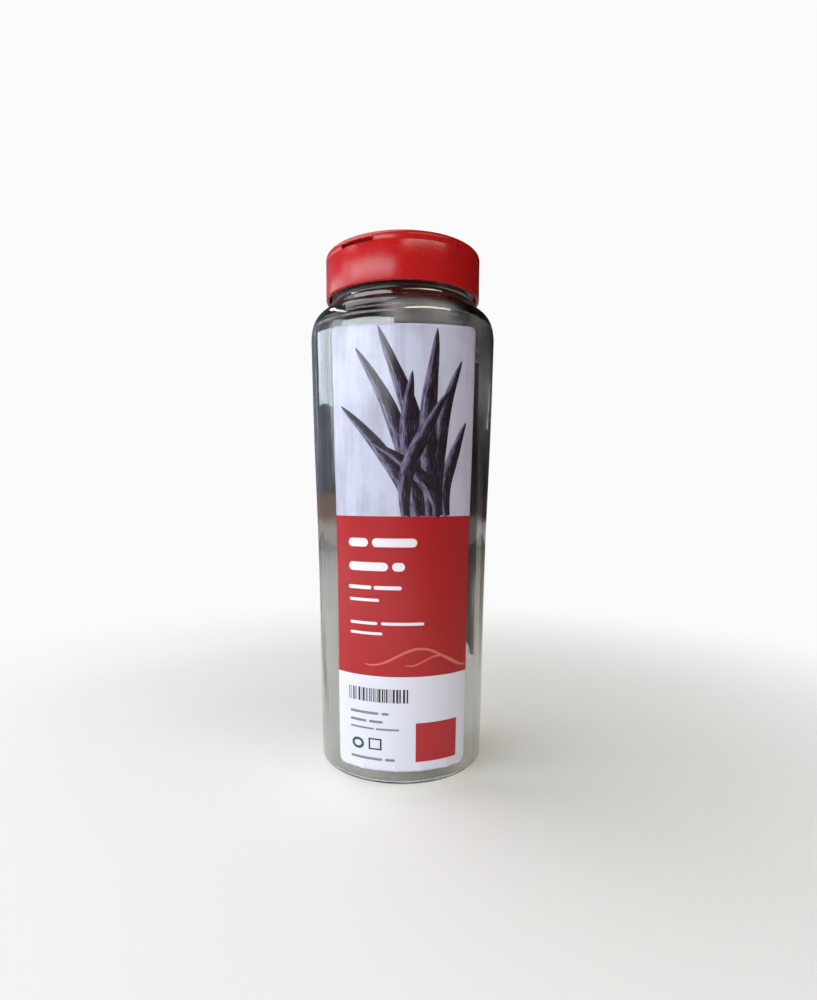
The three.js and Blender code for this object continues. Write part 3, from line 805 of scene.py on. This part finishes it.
def label_sheet():
    points = []
    for back in (0, 1):
        for c in range(LABEL_COLUMNS + 1):
            share = c / LABEL_COLUMNS
            degrees = LABEL_FROM + (LABEL_TO - LABEL_FROM) * share
            lean = LABEL_LEAN * (1 - share)
            from_side = math.radians(min(degrees - LABEL_FROM, LABEL_TO - degrees)) * BODY_RADIUS
            bottom = LABEL_BOTTOM + corner_inset(from_side, LABEL_BOTTOM_CORNER)
            bend = (LABEL_TOP_SIDE - LABEL_TOP_MIDDLE) * (degrees / LABEL_TO) ** 2
            top = LABEL_TOP_MIDDLE + bend - corner_inset(from_side, LABEL_TOP_CORNER)
            for r in range(LABEL_ROWS + 1):
                z = bottom + (top - bottom) * r / LABEL_ROWS
                leaning = lean * (z - LABEL_BOTTOM) / (LABEL_TOP_MIDDLE - LABEL_BOTTOM)
                points.append(on_label(degrees + leaning, z, -LABEL_THICKNESS * back))
    up = LABEL_ROWS + 1
    side = up * (LABEL_COLUMNS + 1)
    faces = []
    for c in range(LABEL_COLUMNS):
        for r in range(LABEL_ROWS):
            a = c * up + r
            faces.append((a, a + up, a + up + 1, a + 1))
            faces.append((side + a, side + a + 1, side + a + up + 1, side + a + up))
        low, high = c * up, c * up + LABEL_ROWS
        faces.append((low, side + low, side + low + up, low + up))
        faces.append((high, high + up, side + high + up, side + high))
    for r in range(LABEL_ROWS):
        faces.append((r, r + 1, side + r + 1, side + r))
        a = LABEL_COLUMNS * up + r
        faces.append((a, side + a, side + a + 1, a + 1))
    return add_mesh("label_sheet", points, faces)


def satin(tree, shader, place):
    """The clear satin film over the print: one finish for paper and inks alike."""
    shader.inputs["IOR"].default_value = 1.5
    shader.inputs["Specular IOR Level"].default_value = 0.50
    film = noise(tree, place, 700, 3)
    tree.links.new(scaled(tree, film, 0.0, 1.0, 0.17, 0.28), shader.inputs["Roughness"])
    both = maths(tree, "ADD", noise(tree, place, 120, 2), film)
    tree.links.new(bump(tree, both, 0.12, 0.04 * MM), shader.inputs["Normal"])


def tones(tree, value, steps):
    """A colour ramp through (position, colour) steps: first, last, and then one between them."""
    ramp = node(tree, "ShaderNodeValToRGB", {"Fac": value})
    for place, (position, colour) in enumerate(steps[:2]):
        ramp.color_ramp.elements[place].position = position
        ramp.color_ramp.elements[place].color = colour
    for position, colour in steps[2:]:
        ramp.color_ramp.elements.new(position).color = colour
    return ramp.outputs["Color"]


def label_material():
    """White paper printed with a pale streaky picture ground above and a red panel in the middle. Painted
    shade darkens the picture ground towards the right.
    """
    material, tree, shader, coordinates = surface("label_paper")
    place = coordinates["Object"]
    parts = node(tree, "ShaderNodeSeparateXYZ", {0: place}).outputs
    streaks = noise(tree, drawn_up(tree, place, 0.10), 170, 7, 0.62)
    mottled = maths(tree, "MULTIPLY", streaks, noise(tree, place, 42, 5, 0.6))
    wood = tones(tree, mottled, [(0.10, GROUND_DARK), (0.30, GROUND_LIGHT), (0.20, GROUND_MIDDLE)])
    # painted shade over the right of the picture ground, where less light falls
    painted_shade = smooth_step(tree, parts["X"], PAINTED_SHADE_FROM, PAINTED_SHADE_TO)
    ground = colour_mix(tree, painted_shade, wood, colour_times(tree, wood, PAINTED_SHADE_TINT))
    over_white = maths(tree, "GREATER_THAN", parts["Z"], RED_FROM)
    over_red = maths(tree, "GREATER_THAN", parts["Z"], PICTURE_FROM)
    lower = colour_mix(tree, over_white, PRINTED_WHITE, PRINTED_RED)
    printed = colour_mix(tree, over_red, lower, ground)
    facing = node(
        tree, "ShaderNodeVectorMath", {0: coordinates["Normal"], 1: place}, operation="DOT_PRODUCT"
    ).outputs["Value"]
    front = maths(tree, "GREATER_THAN", facing, 0.0)
    tree.links.new(colour_mix(tree, front, BARE_BACK, printed), shader.inputs["Base Color"])
    satin(tree, shader, place)
    return material


label = label_sheet()
label.data.materials.append(label_material())
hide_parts("label")
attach(label, "jar")

# ---- the print ----
# Inks on the label, under the film: a tuft of long dark leaves over the picture panel, plain pale bars and a
# salmon swirl on the red panel, and on the white panel plain bars, a row of upright strokes, a green ring, a
# small outlined square and a red block. None of it is lettering.
INK_OFF = 0.02 * MM
INK_STEP = 1.2 * MM
LEAF_DARK = (0.005, 0.003, 0.006, 1)
LEAF_BROWN = (0.026, 0.014, 0.024, 1)
LEAF_SHINE = (0.26, 0.24, 0.38, 1)


class Print:
    """Gathers the strokes of one ink, laid on the label in millimetres across from its middle and up."""

    def __init__(self, name):
        self.name = name
        self.points = []
        self.faces = []
        self.along = []

    def stroke(self, path, half_widths, columns=2, lift=0.0):
        """A ribbon along a path of (across, up) points, with a half width at each."""
        start = len(self.points)
        count = len(path)
        run = 0.0
        for i, (s, z) in enumerate(path):
            before = path[max(0, i - 1)]
            after = path[min(count - 1, i + 1)]
            ds, dz = after[0] - before[0], after[1] - before[1]
            length = math.hypot(ds, dz) or 1.0
            if i:
                run += math.hypot(s - path[i - 1][0], z - path[i - 1][1])
            for c in range(columns + 1):
                side = 2 * c / columns - 1
                across = s - dz / length * half_widths[i] * side
                up = z + ds / length * half_widths[i] * side
                degrees = math.degrees(across * MM / BODY_RADIUS)
                self.points.append(on_label(degrees, up * MM, INK_OFF + lift))
                self.along.append((run, side))
        for i in range(count - 1):
            for c in range(columns):
                a = start + i * (columns + 1) + c
                self.faces.append((a, a + columns + 1, a + columns + 2, a + 1))

    def dash(self, s0, s1, z0, z1):
        """A bar with round ends."""
        half = (z1 - z0) / 2
        ends = [half * (1 - math.cos(math.radians(a))) for a in (8, 25, 45, 65, 90)]
        inner = max(1, math.ceil((s1 - s0 - 2 * half) * MM / INK_STEP))
        middle = [s0 + half + (s1 - s0 - 2 * half) * i / inner for i in range(1, inner)]
        across = [s0 + e for e in ends] + middle + [s1 - e for e in reversed(ends)]
        widths = [math.sqrt(max(0, half**2 - max(0, half - min(s - s0, s1 - s)) ** 2)) for s in across]
        self.stroke([(s, (z0 + z1) / 2) for s in across], widths)

    def bar(self, s0, s1, z0, z1):
        """A filled rectangle."""
        steps = max(1, math.ceil((s1 - s0) * MM / INK_STEP))
        path = [(s0 + (s1 - s0) * i / steps, (z0 + z1) / 2) for i in range(steps + 1)]
        self.stroke(path, [(z1 - z0) / 2] * len(path))

    def made(self, material):
        """Turns the strokes into one piece that faces outward."""
        piece = add_mesh(self.name, self.points, self.faces)
        uv = piece.data.uv_layers.new(name="along_and_across")
        for loop in piece.data.loops:
            uv.data[loop.index].uv = self.along[loop.vertex_index]
        tidy = bmesh.new()
        tidy.from_mesh(piece.data)
        for face in tidy.faces:
            middle = face.calc_center_median()
            if face.normal.x * middle.x + face.normal.y * middle.y < 0:
                face.normal_flip()
        tidy.to_mesh(piece.data)
        tidy.free()
        piece.data.materials.append(material)
        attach(piece, "jar")


def ink(name, colour):
    """One flat ink, a little thinner in places."""
    material, tree, shader, coordinates = surface(name)
    place = coordinates["Object"]
    weaker = [min(1, c * 1.18 + 0.004) for c in colour]
    shade = colour_mix(tree, noise(tree, place, 900, 2), (*colour, 1), (*weaker, 1))
    tree.links.new(shade, shader.inputs["Base Color"])
    satin(tree, shader, place)
    return material


def leaf_ink():
    """Dark purple-brown with long fine fibres and a lilac shine along one side."""
    material, tree, shader, coordinates = surface("leaf_ink")
    run = node(tree, "ShaderNodeMapping", {"Vector": coordinates["UV"], "Scale": (0.10, 2.6, 1)}).outputs[0]
    fibres = noise(tree, run, 1.6, 8, 0.72)
    side = node(tree, "ShaderNodeSeparateXYZ", {0: coordinates["UV"]}).outputs["Y"]
    span = {"Value": side, "From Min": -0.2, "From Max": 0.75, "To Min": 0.0, "To Max": 0.22}
    shine = node(tree, "ShaderNodeMapRange", span, interpolation_type="SMOOTHSTEP").outputs["Result"]
    lit = maths(tree, "ADD", fibres, shine)
    tone = tones(tree, lit, [(0.40, LEAF_DARK), (0.80, LEAF_SHINE), (0.58, LEAF_BROWN)])
    tree.links.new(tone, shader.inputs["Base Color"])
    satin(tree, shader, coordinates["Object"])
    return material


LEAVES = [
    # foot across, tip across, tip height, bow, widest half width, all in millimetres
    (2.0, -27.0, 166.0, 5.0, 2.9),
    (5.0, -19.0, 187.0, 4.0, 3.4),
    (19.0, 28.5, 160.0, -3.0, 2.8),
    (9.0, -9.5, 194.2, 3.0, 3.6),
    (16.0, 25.0, 183.0, -4.5, 3.2),
    (7.0, 3.5, 178.0, -3.0, 3.3),
    (12.0, 13.5, 193.6, -2.0, 3.6),
    (14.0, -13.0, 152.0, 6.0, 2.8),
    (1.0, 19.0, 171.0, -4.0, 3.0),
]
LEAF_STEPS = 60
PICTURE_FOOT = 122.7  # millimetres up, where the leaves grow from
LEAF_OVERLAP = 0.006 * MM  # each leaf lies this much over the one before
leaves = Print("print_leaves")
for number, (foot, tip, tip_height, bow, half) in enumerate(LEAVES):
    path = []
    widths = []
    for i in range(LEAF_STEPS + 1):
        t = i / LEAF_STEPS
        wave = bow * math.sin(math.pi * t) + 0.35 * math.sin(9 * t + number)
        path.append((foot + (tip - foot) * t**1.25 + wave, PICTURE_FOOT + (tip_height - PICTURE_FOOT) * t))
        belly = 0.55 + 0.45 * math.sin(math.pi * min(1, t * 1.25) * 0.8)
        widths.append(half * belly * (1 - t**5) ** 0.8 + 0.12)
    leaves.stroke(path, widths, 10, LEAF_OVERLAP * number)
leaves.made(leaf_ink())

pale_bars = Print("print_pale_bars")
for s0, s1, z0, z1 in [
    (-24.1, -14.6, 110.0, 113.6),
    (-12.8, 6.4, 110.0, 113.6),
    (-24.1, -5.9, 100.0, 103.6),
    (-4.1, 1.3, 100.0, 103.6),
    (-24.5, -13.2, 92.1, 93.7),
    (-12.2, 0.0, 92.1, 93.7),
    (-24.1, -9.8, 86.9, 88.2),
    (-23.8, -10.6, 76.8, 78.1),
    (-9.0, 9.8, 76.8, 78.1),
    (-23.8, -8.4, 72.4, 73.6),
]:
    pale_bars.dash(s0, s1, z0, z1)
pale_bars.made(ink("pale_ink", (0.80, 0.74, 0.80)))

SWIRL_STEPS = 70
SWIRL_START = (31.5, 57.0)
swirl = Print("print_swirl")
for reach, rise, thick in ((24.0, 8.5, 0.55), (15.0, 5.0, 0.40)):
    path = []
    widths = []
    for i in range(SWIRL_STEPS + 1):
        t = i / SWIRL_STEPS
        up = rise * (1 - math.cos(2.1 * math.pi * t)) * 0.5
        path.append((SWIRL_START[0] - reach * 2.0 * t, SWIRL_START[1] + up + 2.0 * t))
        widths.append(thick * (0.35 + 0.65 * math.sin(math.pi * min(1.0, 0.12 + t * 0.88)) ** 0.5))
    swirl.stroke(path, widths)
swirl.made(ink("salmon_ink", (0.62, 0.13, 0.11)))

STROKES_FROM = -25.0
STROKES_TO = 3.6
STROKES_LOW = 41.9
STROKES_HIGH = 48.2
STROKE_WIDTHS = (0.28, 0.45, 0.45, 0.75, 1.0)
STROKE_GAPS = (0.3, 0.35, 0.55, 0.9)
STROKE_SEED = 4
strokes = Print("print_upright_strokes")
draw = random.Random(STROKE_SEED)
at = STROKES_FROM
while at < STROKES_TO:
    thick = draw.choice(STROKE_WIDTHS)
    strokes.bar(at, at + thick, STROKES_LOW, STROKES_HIGH)
    at += thick + draw.choice(STROKE_GAPS)
strokes.made(ink("black_ink", (0.035, 0.033, 0.045)))

grey_bars = Print("print_grey_bars")
for s0, s1, z0, z1 in [
    (-24.4, -10.2, 36.0, 37.2),
    (-8.9, -5.6, 36.0, 37.2),
    (-24.4, -16.0, 32.1, 33.3),
    (-14.8, -8.3, 32.1, 33.3),
    (-24.4, -12.4, 28.8, 29.7),
    (-11.6, -1.0, 28.8, 29.7),
    (-24.4, -8.6, 14.1, 15.3),
    (-7.4, -2.8, 14.1, 15.3),
]:
    grey_bars.dash(s0, s1, z0, z1)
grey_bars.made(ink("grey_ink", (0.20, 0.20, 0.24)))

RING_STEPS = 48
RING_MIDDLE = (-20.5, 21.4)
RING_HALF_SIZE = (2.5, 2.1)
RING_HALF_WIDTH = 0.62
ring = Print("print_green_ring")
turns = [2 * math.pi * i / RING_STEPS for i in range(RING_STEPS + 1)]
circle = [
    (RING_MIDDLE[0] + RING_HALF_SIZE[0] * math.cos(a), RING_MIDDLE[1] + RING_HALF_SIZE[1] * math.sin(a))
    for a in turns
]
ring.stroke(circle, [RING_HALF_WIDTH] * len(circle), 3)
ring.made(ink("green_ink", (0.02, 0.085, 0.055)))

square = Print("print_outlined_square")
for s0, s1, z0, z1 in [
    (-15.1, -8.9, 24.0, 24.7),
    (-15.1, -8.9, 19.2, 19.9),
    (-15.1, -14.3, 19.9, 24.0),
    (-9.7, -8.9, 19.9, 24.0),
]:
    square.bar(s0, s1, z0, z1)
square.made(ink("outline_ink", (0.03, 0.028, 0.05)))

block_print = Print("print_red_block")
block_print.bar(6.4, 26.9, 13.8, 32.4)
block_print.made(ink("block_ink", (0.42, 0.011, 0.016)))

# ---- the vanilla pods ----
# Thirteen cured vanilla pods stand in the jar, one of them wedged high at the right. Each is a long flattened
# capsule, oily dark brown, wrinkled lengthwise as it dried, with a blunt tip below and a hooked stem above.
POD_COUNT = 13
POD_RING = 8
POD_FLATNESS = 0.62
POD_AROUND = 44
POD_STEPS = 230
POD_FOLDS = 9
POD_FULLNESS = 1.08
POD_LOOK = 0.004  # of the length, ahead and behind, to find the way the pod runs
POD_FOOT_END = 0.012  # of the length, over which the foot rounds off
POD_TOP_END = 0.008
POD_LEAST_END = 0.02
POD_ROUGHNESS = 0.018
POD_DARK = (0.010, 0.0055, 0.0055, 1)
POD_RIDGE = (0.060, 0.030, 0.024, 1)


def pod_rings(name):
    """The middle, the wide way and the half width of each ring of a pod's solid, from the foot up."""
    corners = {tuple(round(c, 6) for c in v.co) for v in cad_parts[name].data.vertices}
    corners = [Vector(c) for c in sorted(corners, key=lambda c: c[2])]
    rings = []
    for first in range(0, len(corners), POD_RING):
        ring = corners[first : first + POD_RING]
        middle = sum(ring, Vector()) / len(ring)
        far = max(ring, key=lambda c: (c - middle).length)
        wide = (far - middle).normalized()
        if rings and wide.dot(rings[-1][1]) < 0:
            wide = -wide
        rings.append((middle, wide, (far - middle).length))
    return rings


def between(values, t):
    """A smooth curve through the values, at t from 0 to 1."""
    place = t * (len(values) - 1)
    i = min(len(values) - 2, int(place))
    u = place - i
    a, b, c, d = (values[min(len(values) - 1, max(0, i + k))] for k in (-1, 0, 1, 2))
    return 0.5 * (2 * b + (c - a) * u + (2 * a - 5 * b + 4 * c - d) * u**2 + (3 * b - a - 3 * c + d) * u**3)


def crease(angle):
    """A narrow fold, from 0 to 1, once round."""
    return (0.5 + 0.5 * math.cos(angle)) ** 5


def pod_piece(name, seed):
    """A pod's wrinkled skin, drawn along the rings of its solid."""
    rings = pod_rings(name)
    middles = [r[0] for r in rings]
    wides = [r[1] for r in rings]
    halves = [r[2] for r in rings]
    draw = random.Random(seed)
    folds = [
        (
            draw.randint(2, 11),
            draw.uniform(0, 7),
            draw.uniform(-2.5, 2.5),
            draw.uniform(0.8, 3.5),
            draw.uniform(0.03, 0.085),
        )
        for _ in range(POD_FOLDS)
    ]
    points = []
    for i in range(POD_STEPS + 1):
        t = i / POD_STEPS
        middle = between(middles, t)
        ahead = between(middles, min(1, t + POD_LOOK))
        behind = between(middles, max(0, t - POD_LOOK))
        along = (ahead - behind).normalized()
        wide = between(wides, t)
        wide = (wide - along * wide.dot(along)).normalized()
        thin = along.cross(wide)
        ends = min(1, t / POD_FOOT_END, (1 - t) / POD_TOP_END)
        half = between(halves, t) * math.sqrt(max(POD_LEAST_END, 1 - (1 - ends) ** 2))
        for s in range(POD_AROUND):
            a = 2 * math.pi * s / POD_AROUND
            depth = sum(
                deep * crease(a * count + start + turn * t + 0.7 * math.sin(7 * t * wander + start))
                for count, start, turn, wander, deep in folds
            )
            across = 1 - depth * (0.55 + 0.45 * math.sin(3.1 * t * folds[0][3] + a) ** 2)
            rough = POD_ROUGHNESS * math.sin(61 * t + 3 * a + seed) * math.sin(23 * t - 2 * a)
            reach = half * (across + rough)
            flat = thin * reach * POD_FLATNESS * POD_FULLNESS * math.sin(a)
            points.append(middle + wide * reach * math.cos(a) + flat)
    faces = []
    for i in range(POD_STEPS):
        for s in range(POD_AROUND):
            n = (s + 1) % POD_AROUND
            a, b = i * POD_AROUND, (i + 1) * POD_AROUND
            faces.append((a + s, a + n, b + n, b + s))
    faces.append(tuple(reversed(range(POD_AROUND))))
    faces.append(tuple(range(POD_STEPS * POD_AROUND, (POD_STEPS + 1) * POD_AROUND)))
    return add_mesh(f"{name}_skin", points, faces)


def pod_material():
    """Oily near-black brown, a little redder on the ridges, with fine lengthwise streaks."""
    material, tree, shader, coordinates = surface("vanilla_pod")
    place = coordinates["Object"]
    shader.inputs["Coat Weight"].default_value = 0.25
    shader.inputs["Coat Roughness"].default_value = 0.22
    streaks = noise(tree, drawn_up(tree, place, 0.07), 1500, 6, 0.65)
    mixed = maths(tree, "MULTIPLY", streaks, noise(tree, place, 140, 3))
    tone = tones(tree, mixed, [(0.16, POD_DARK), (0.42, POD_RIDGE)])
    tree.links.new(tone, shader.inputs["Base Color"])
    tree.links.new(scaled(tree, streaks, 0.0, 1.0, 0.30, 0.62), shader.inputs["Roughness"])
    tree.links.new(bump(tree, streaks, 0.5, 0.12 * MM), shader.inputs["Normal"])
    return material


vanilla_pod = pod_material()
for number in range(1, POD_COUNT + 1):
    pod = pod_piece(f"pod_{number:02d}", number)
    pod.data.materials.append(vanilla_pod)
    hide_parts(f"pod_{number:02d}")
    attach(pod, "jar")
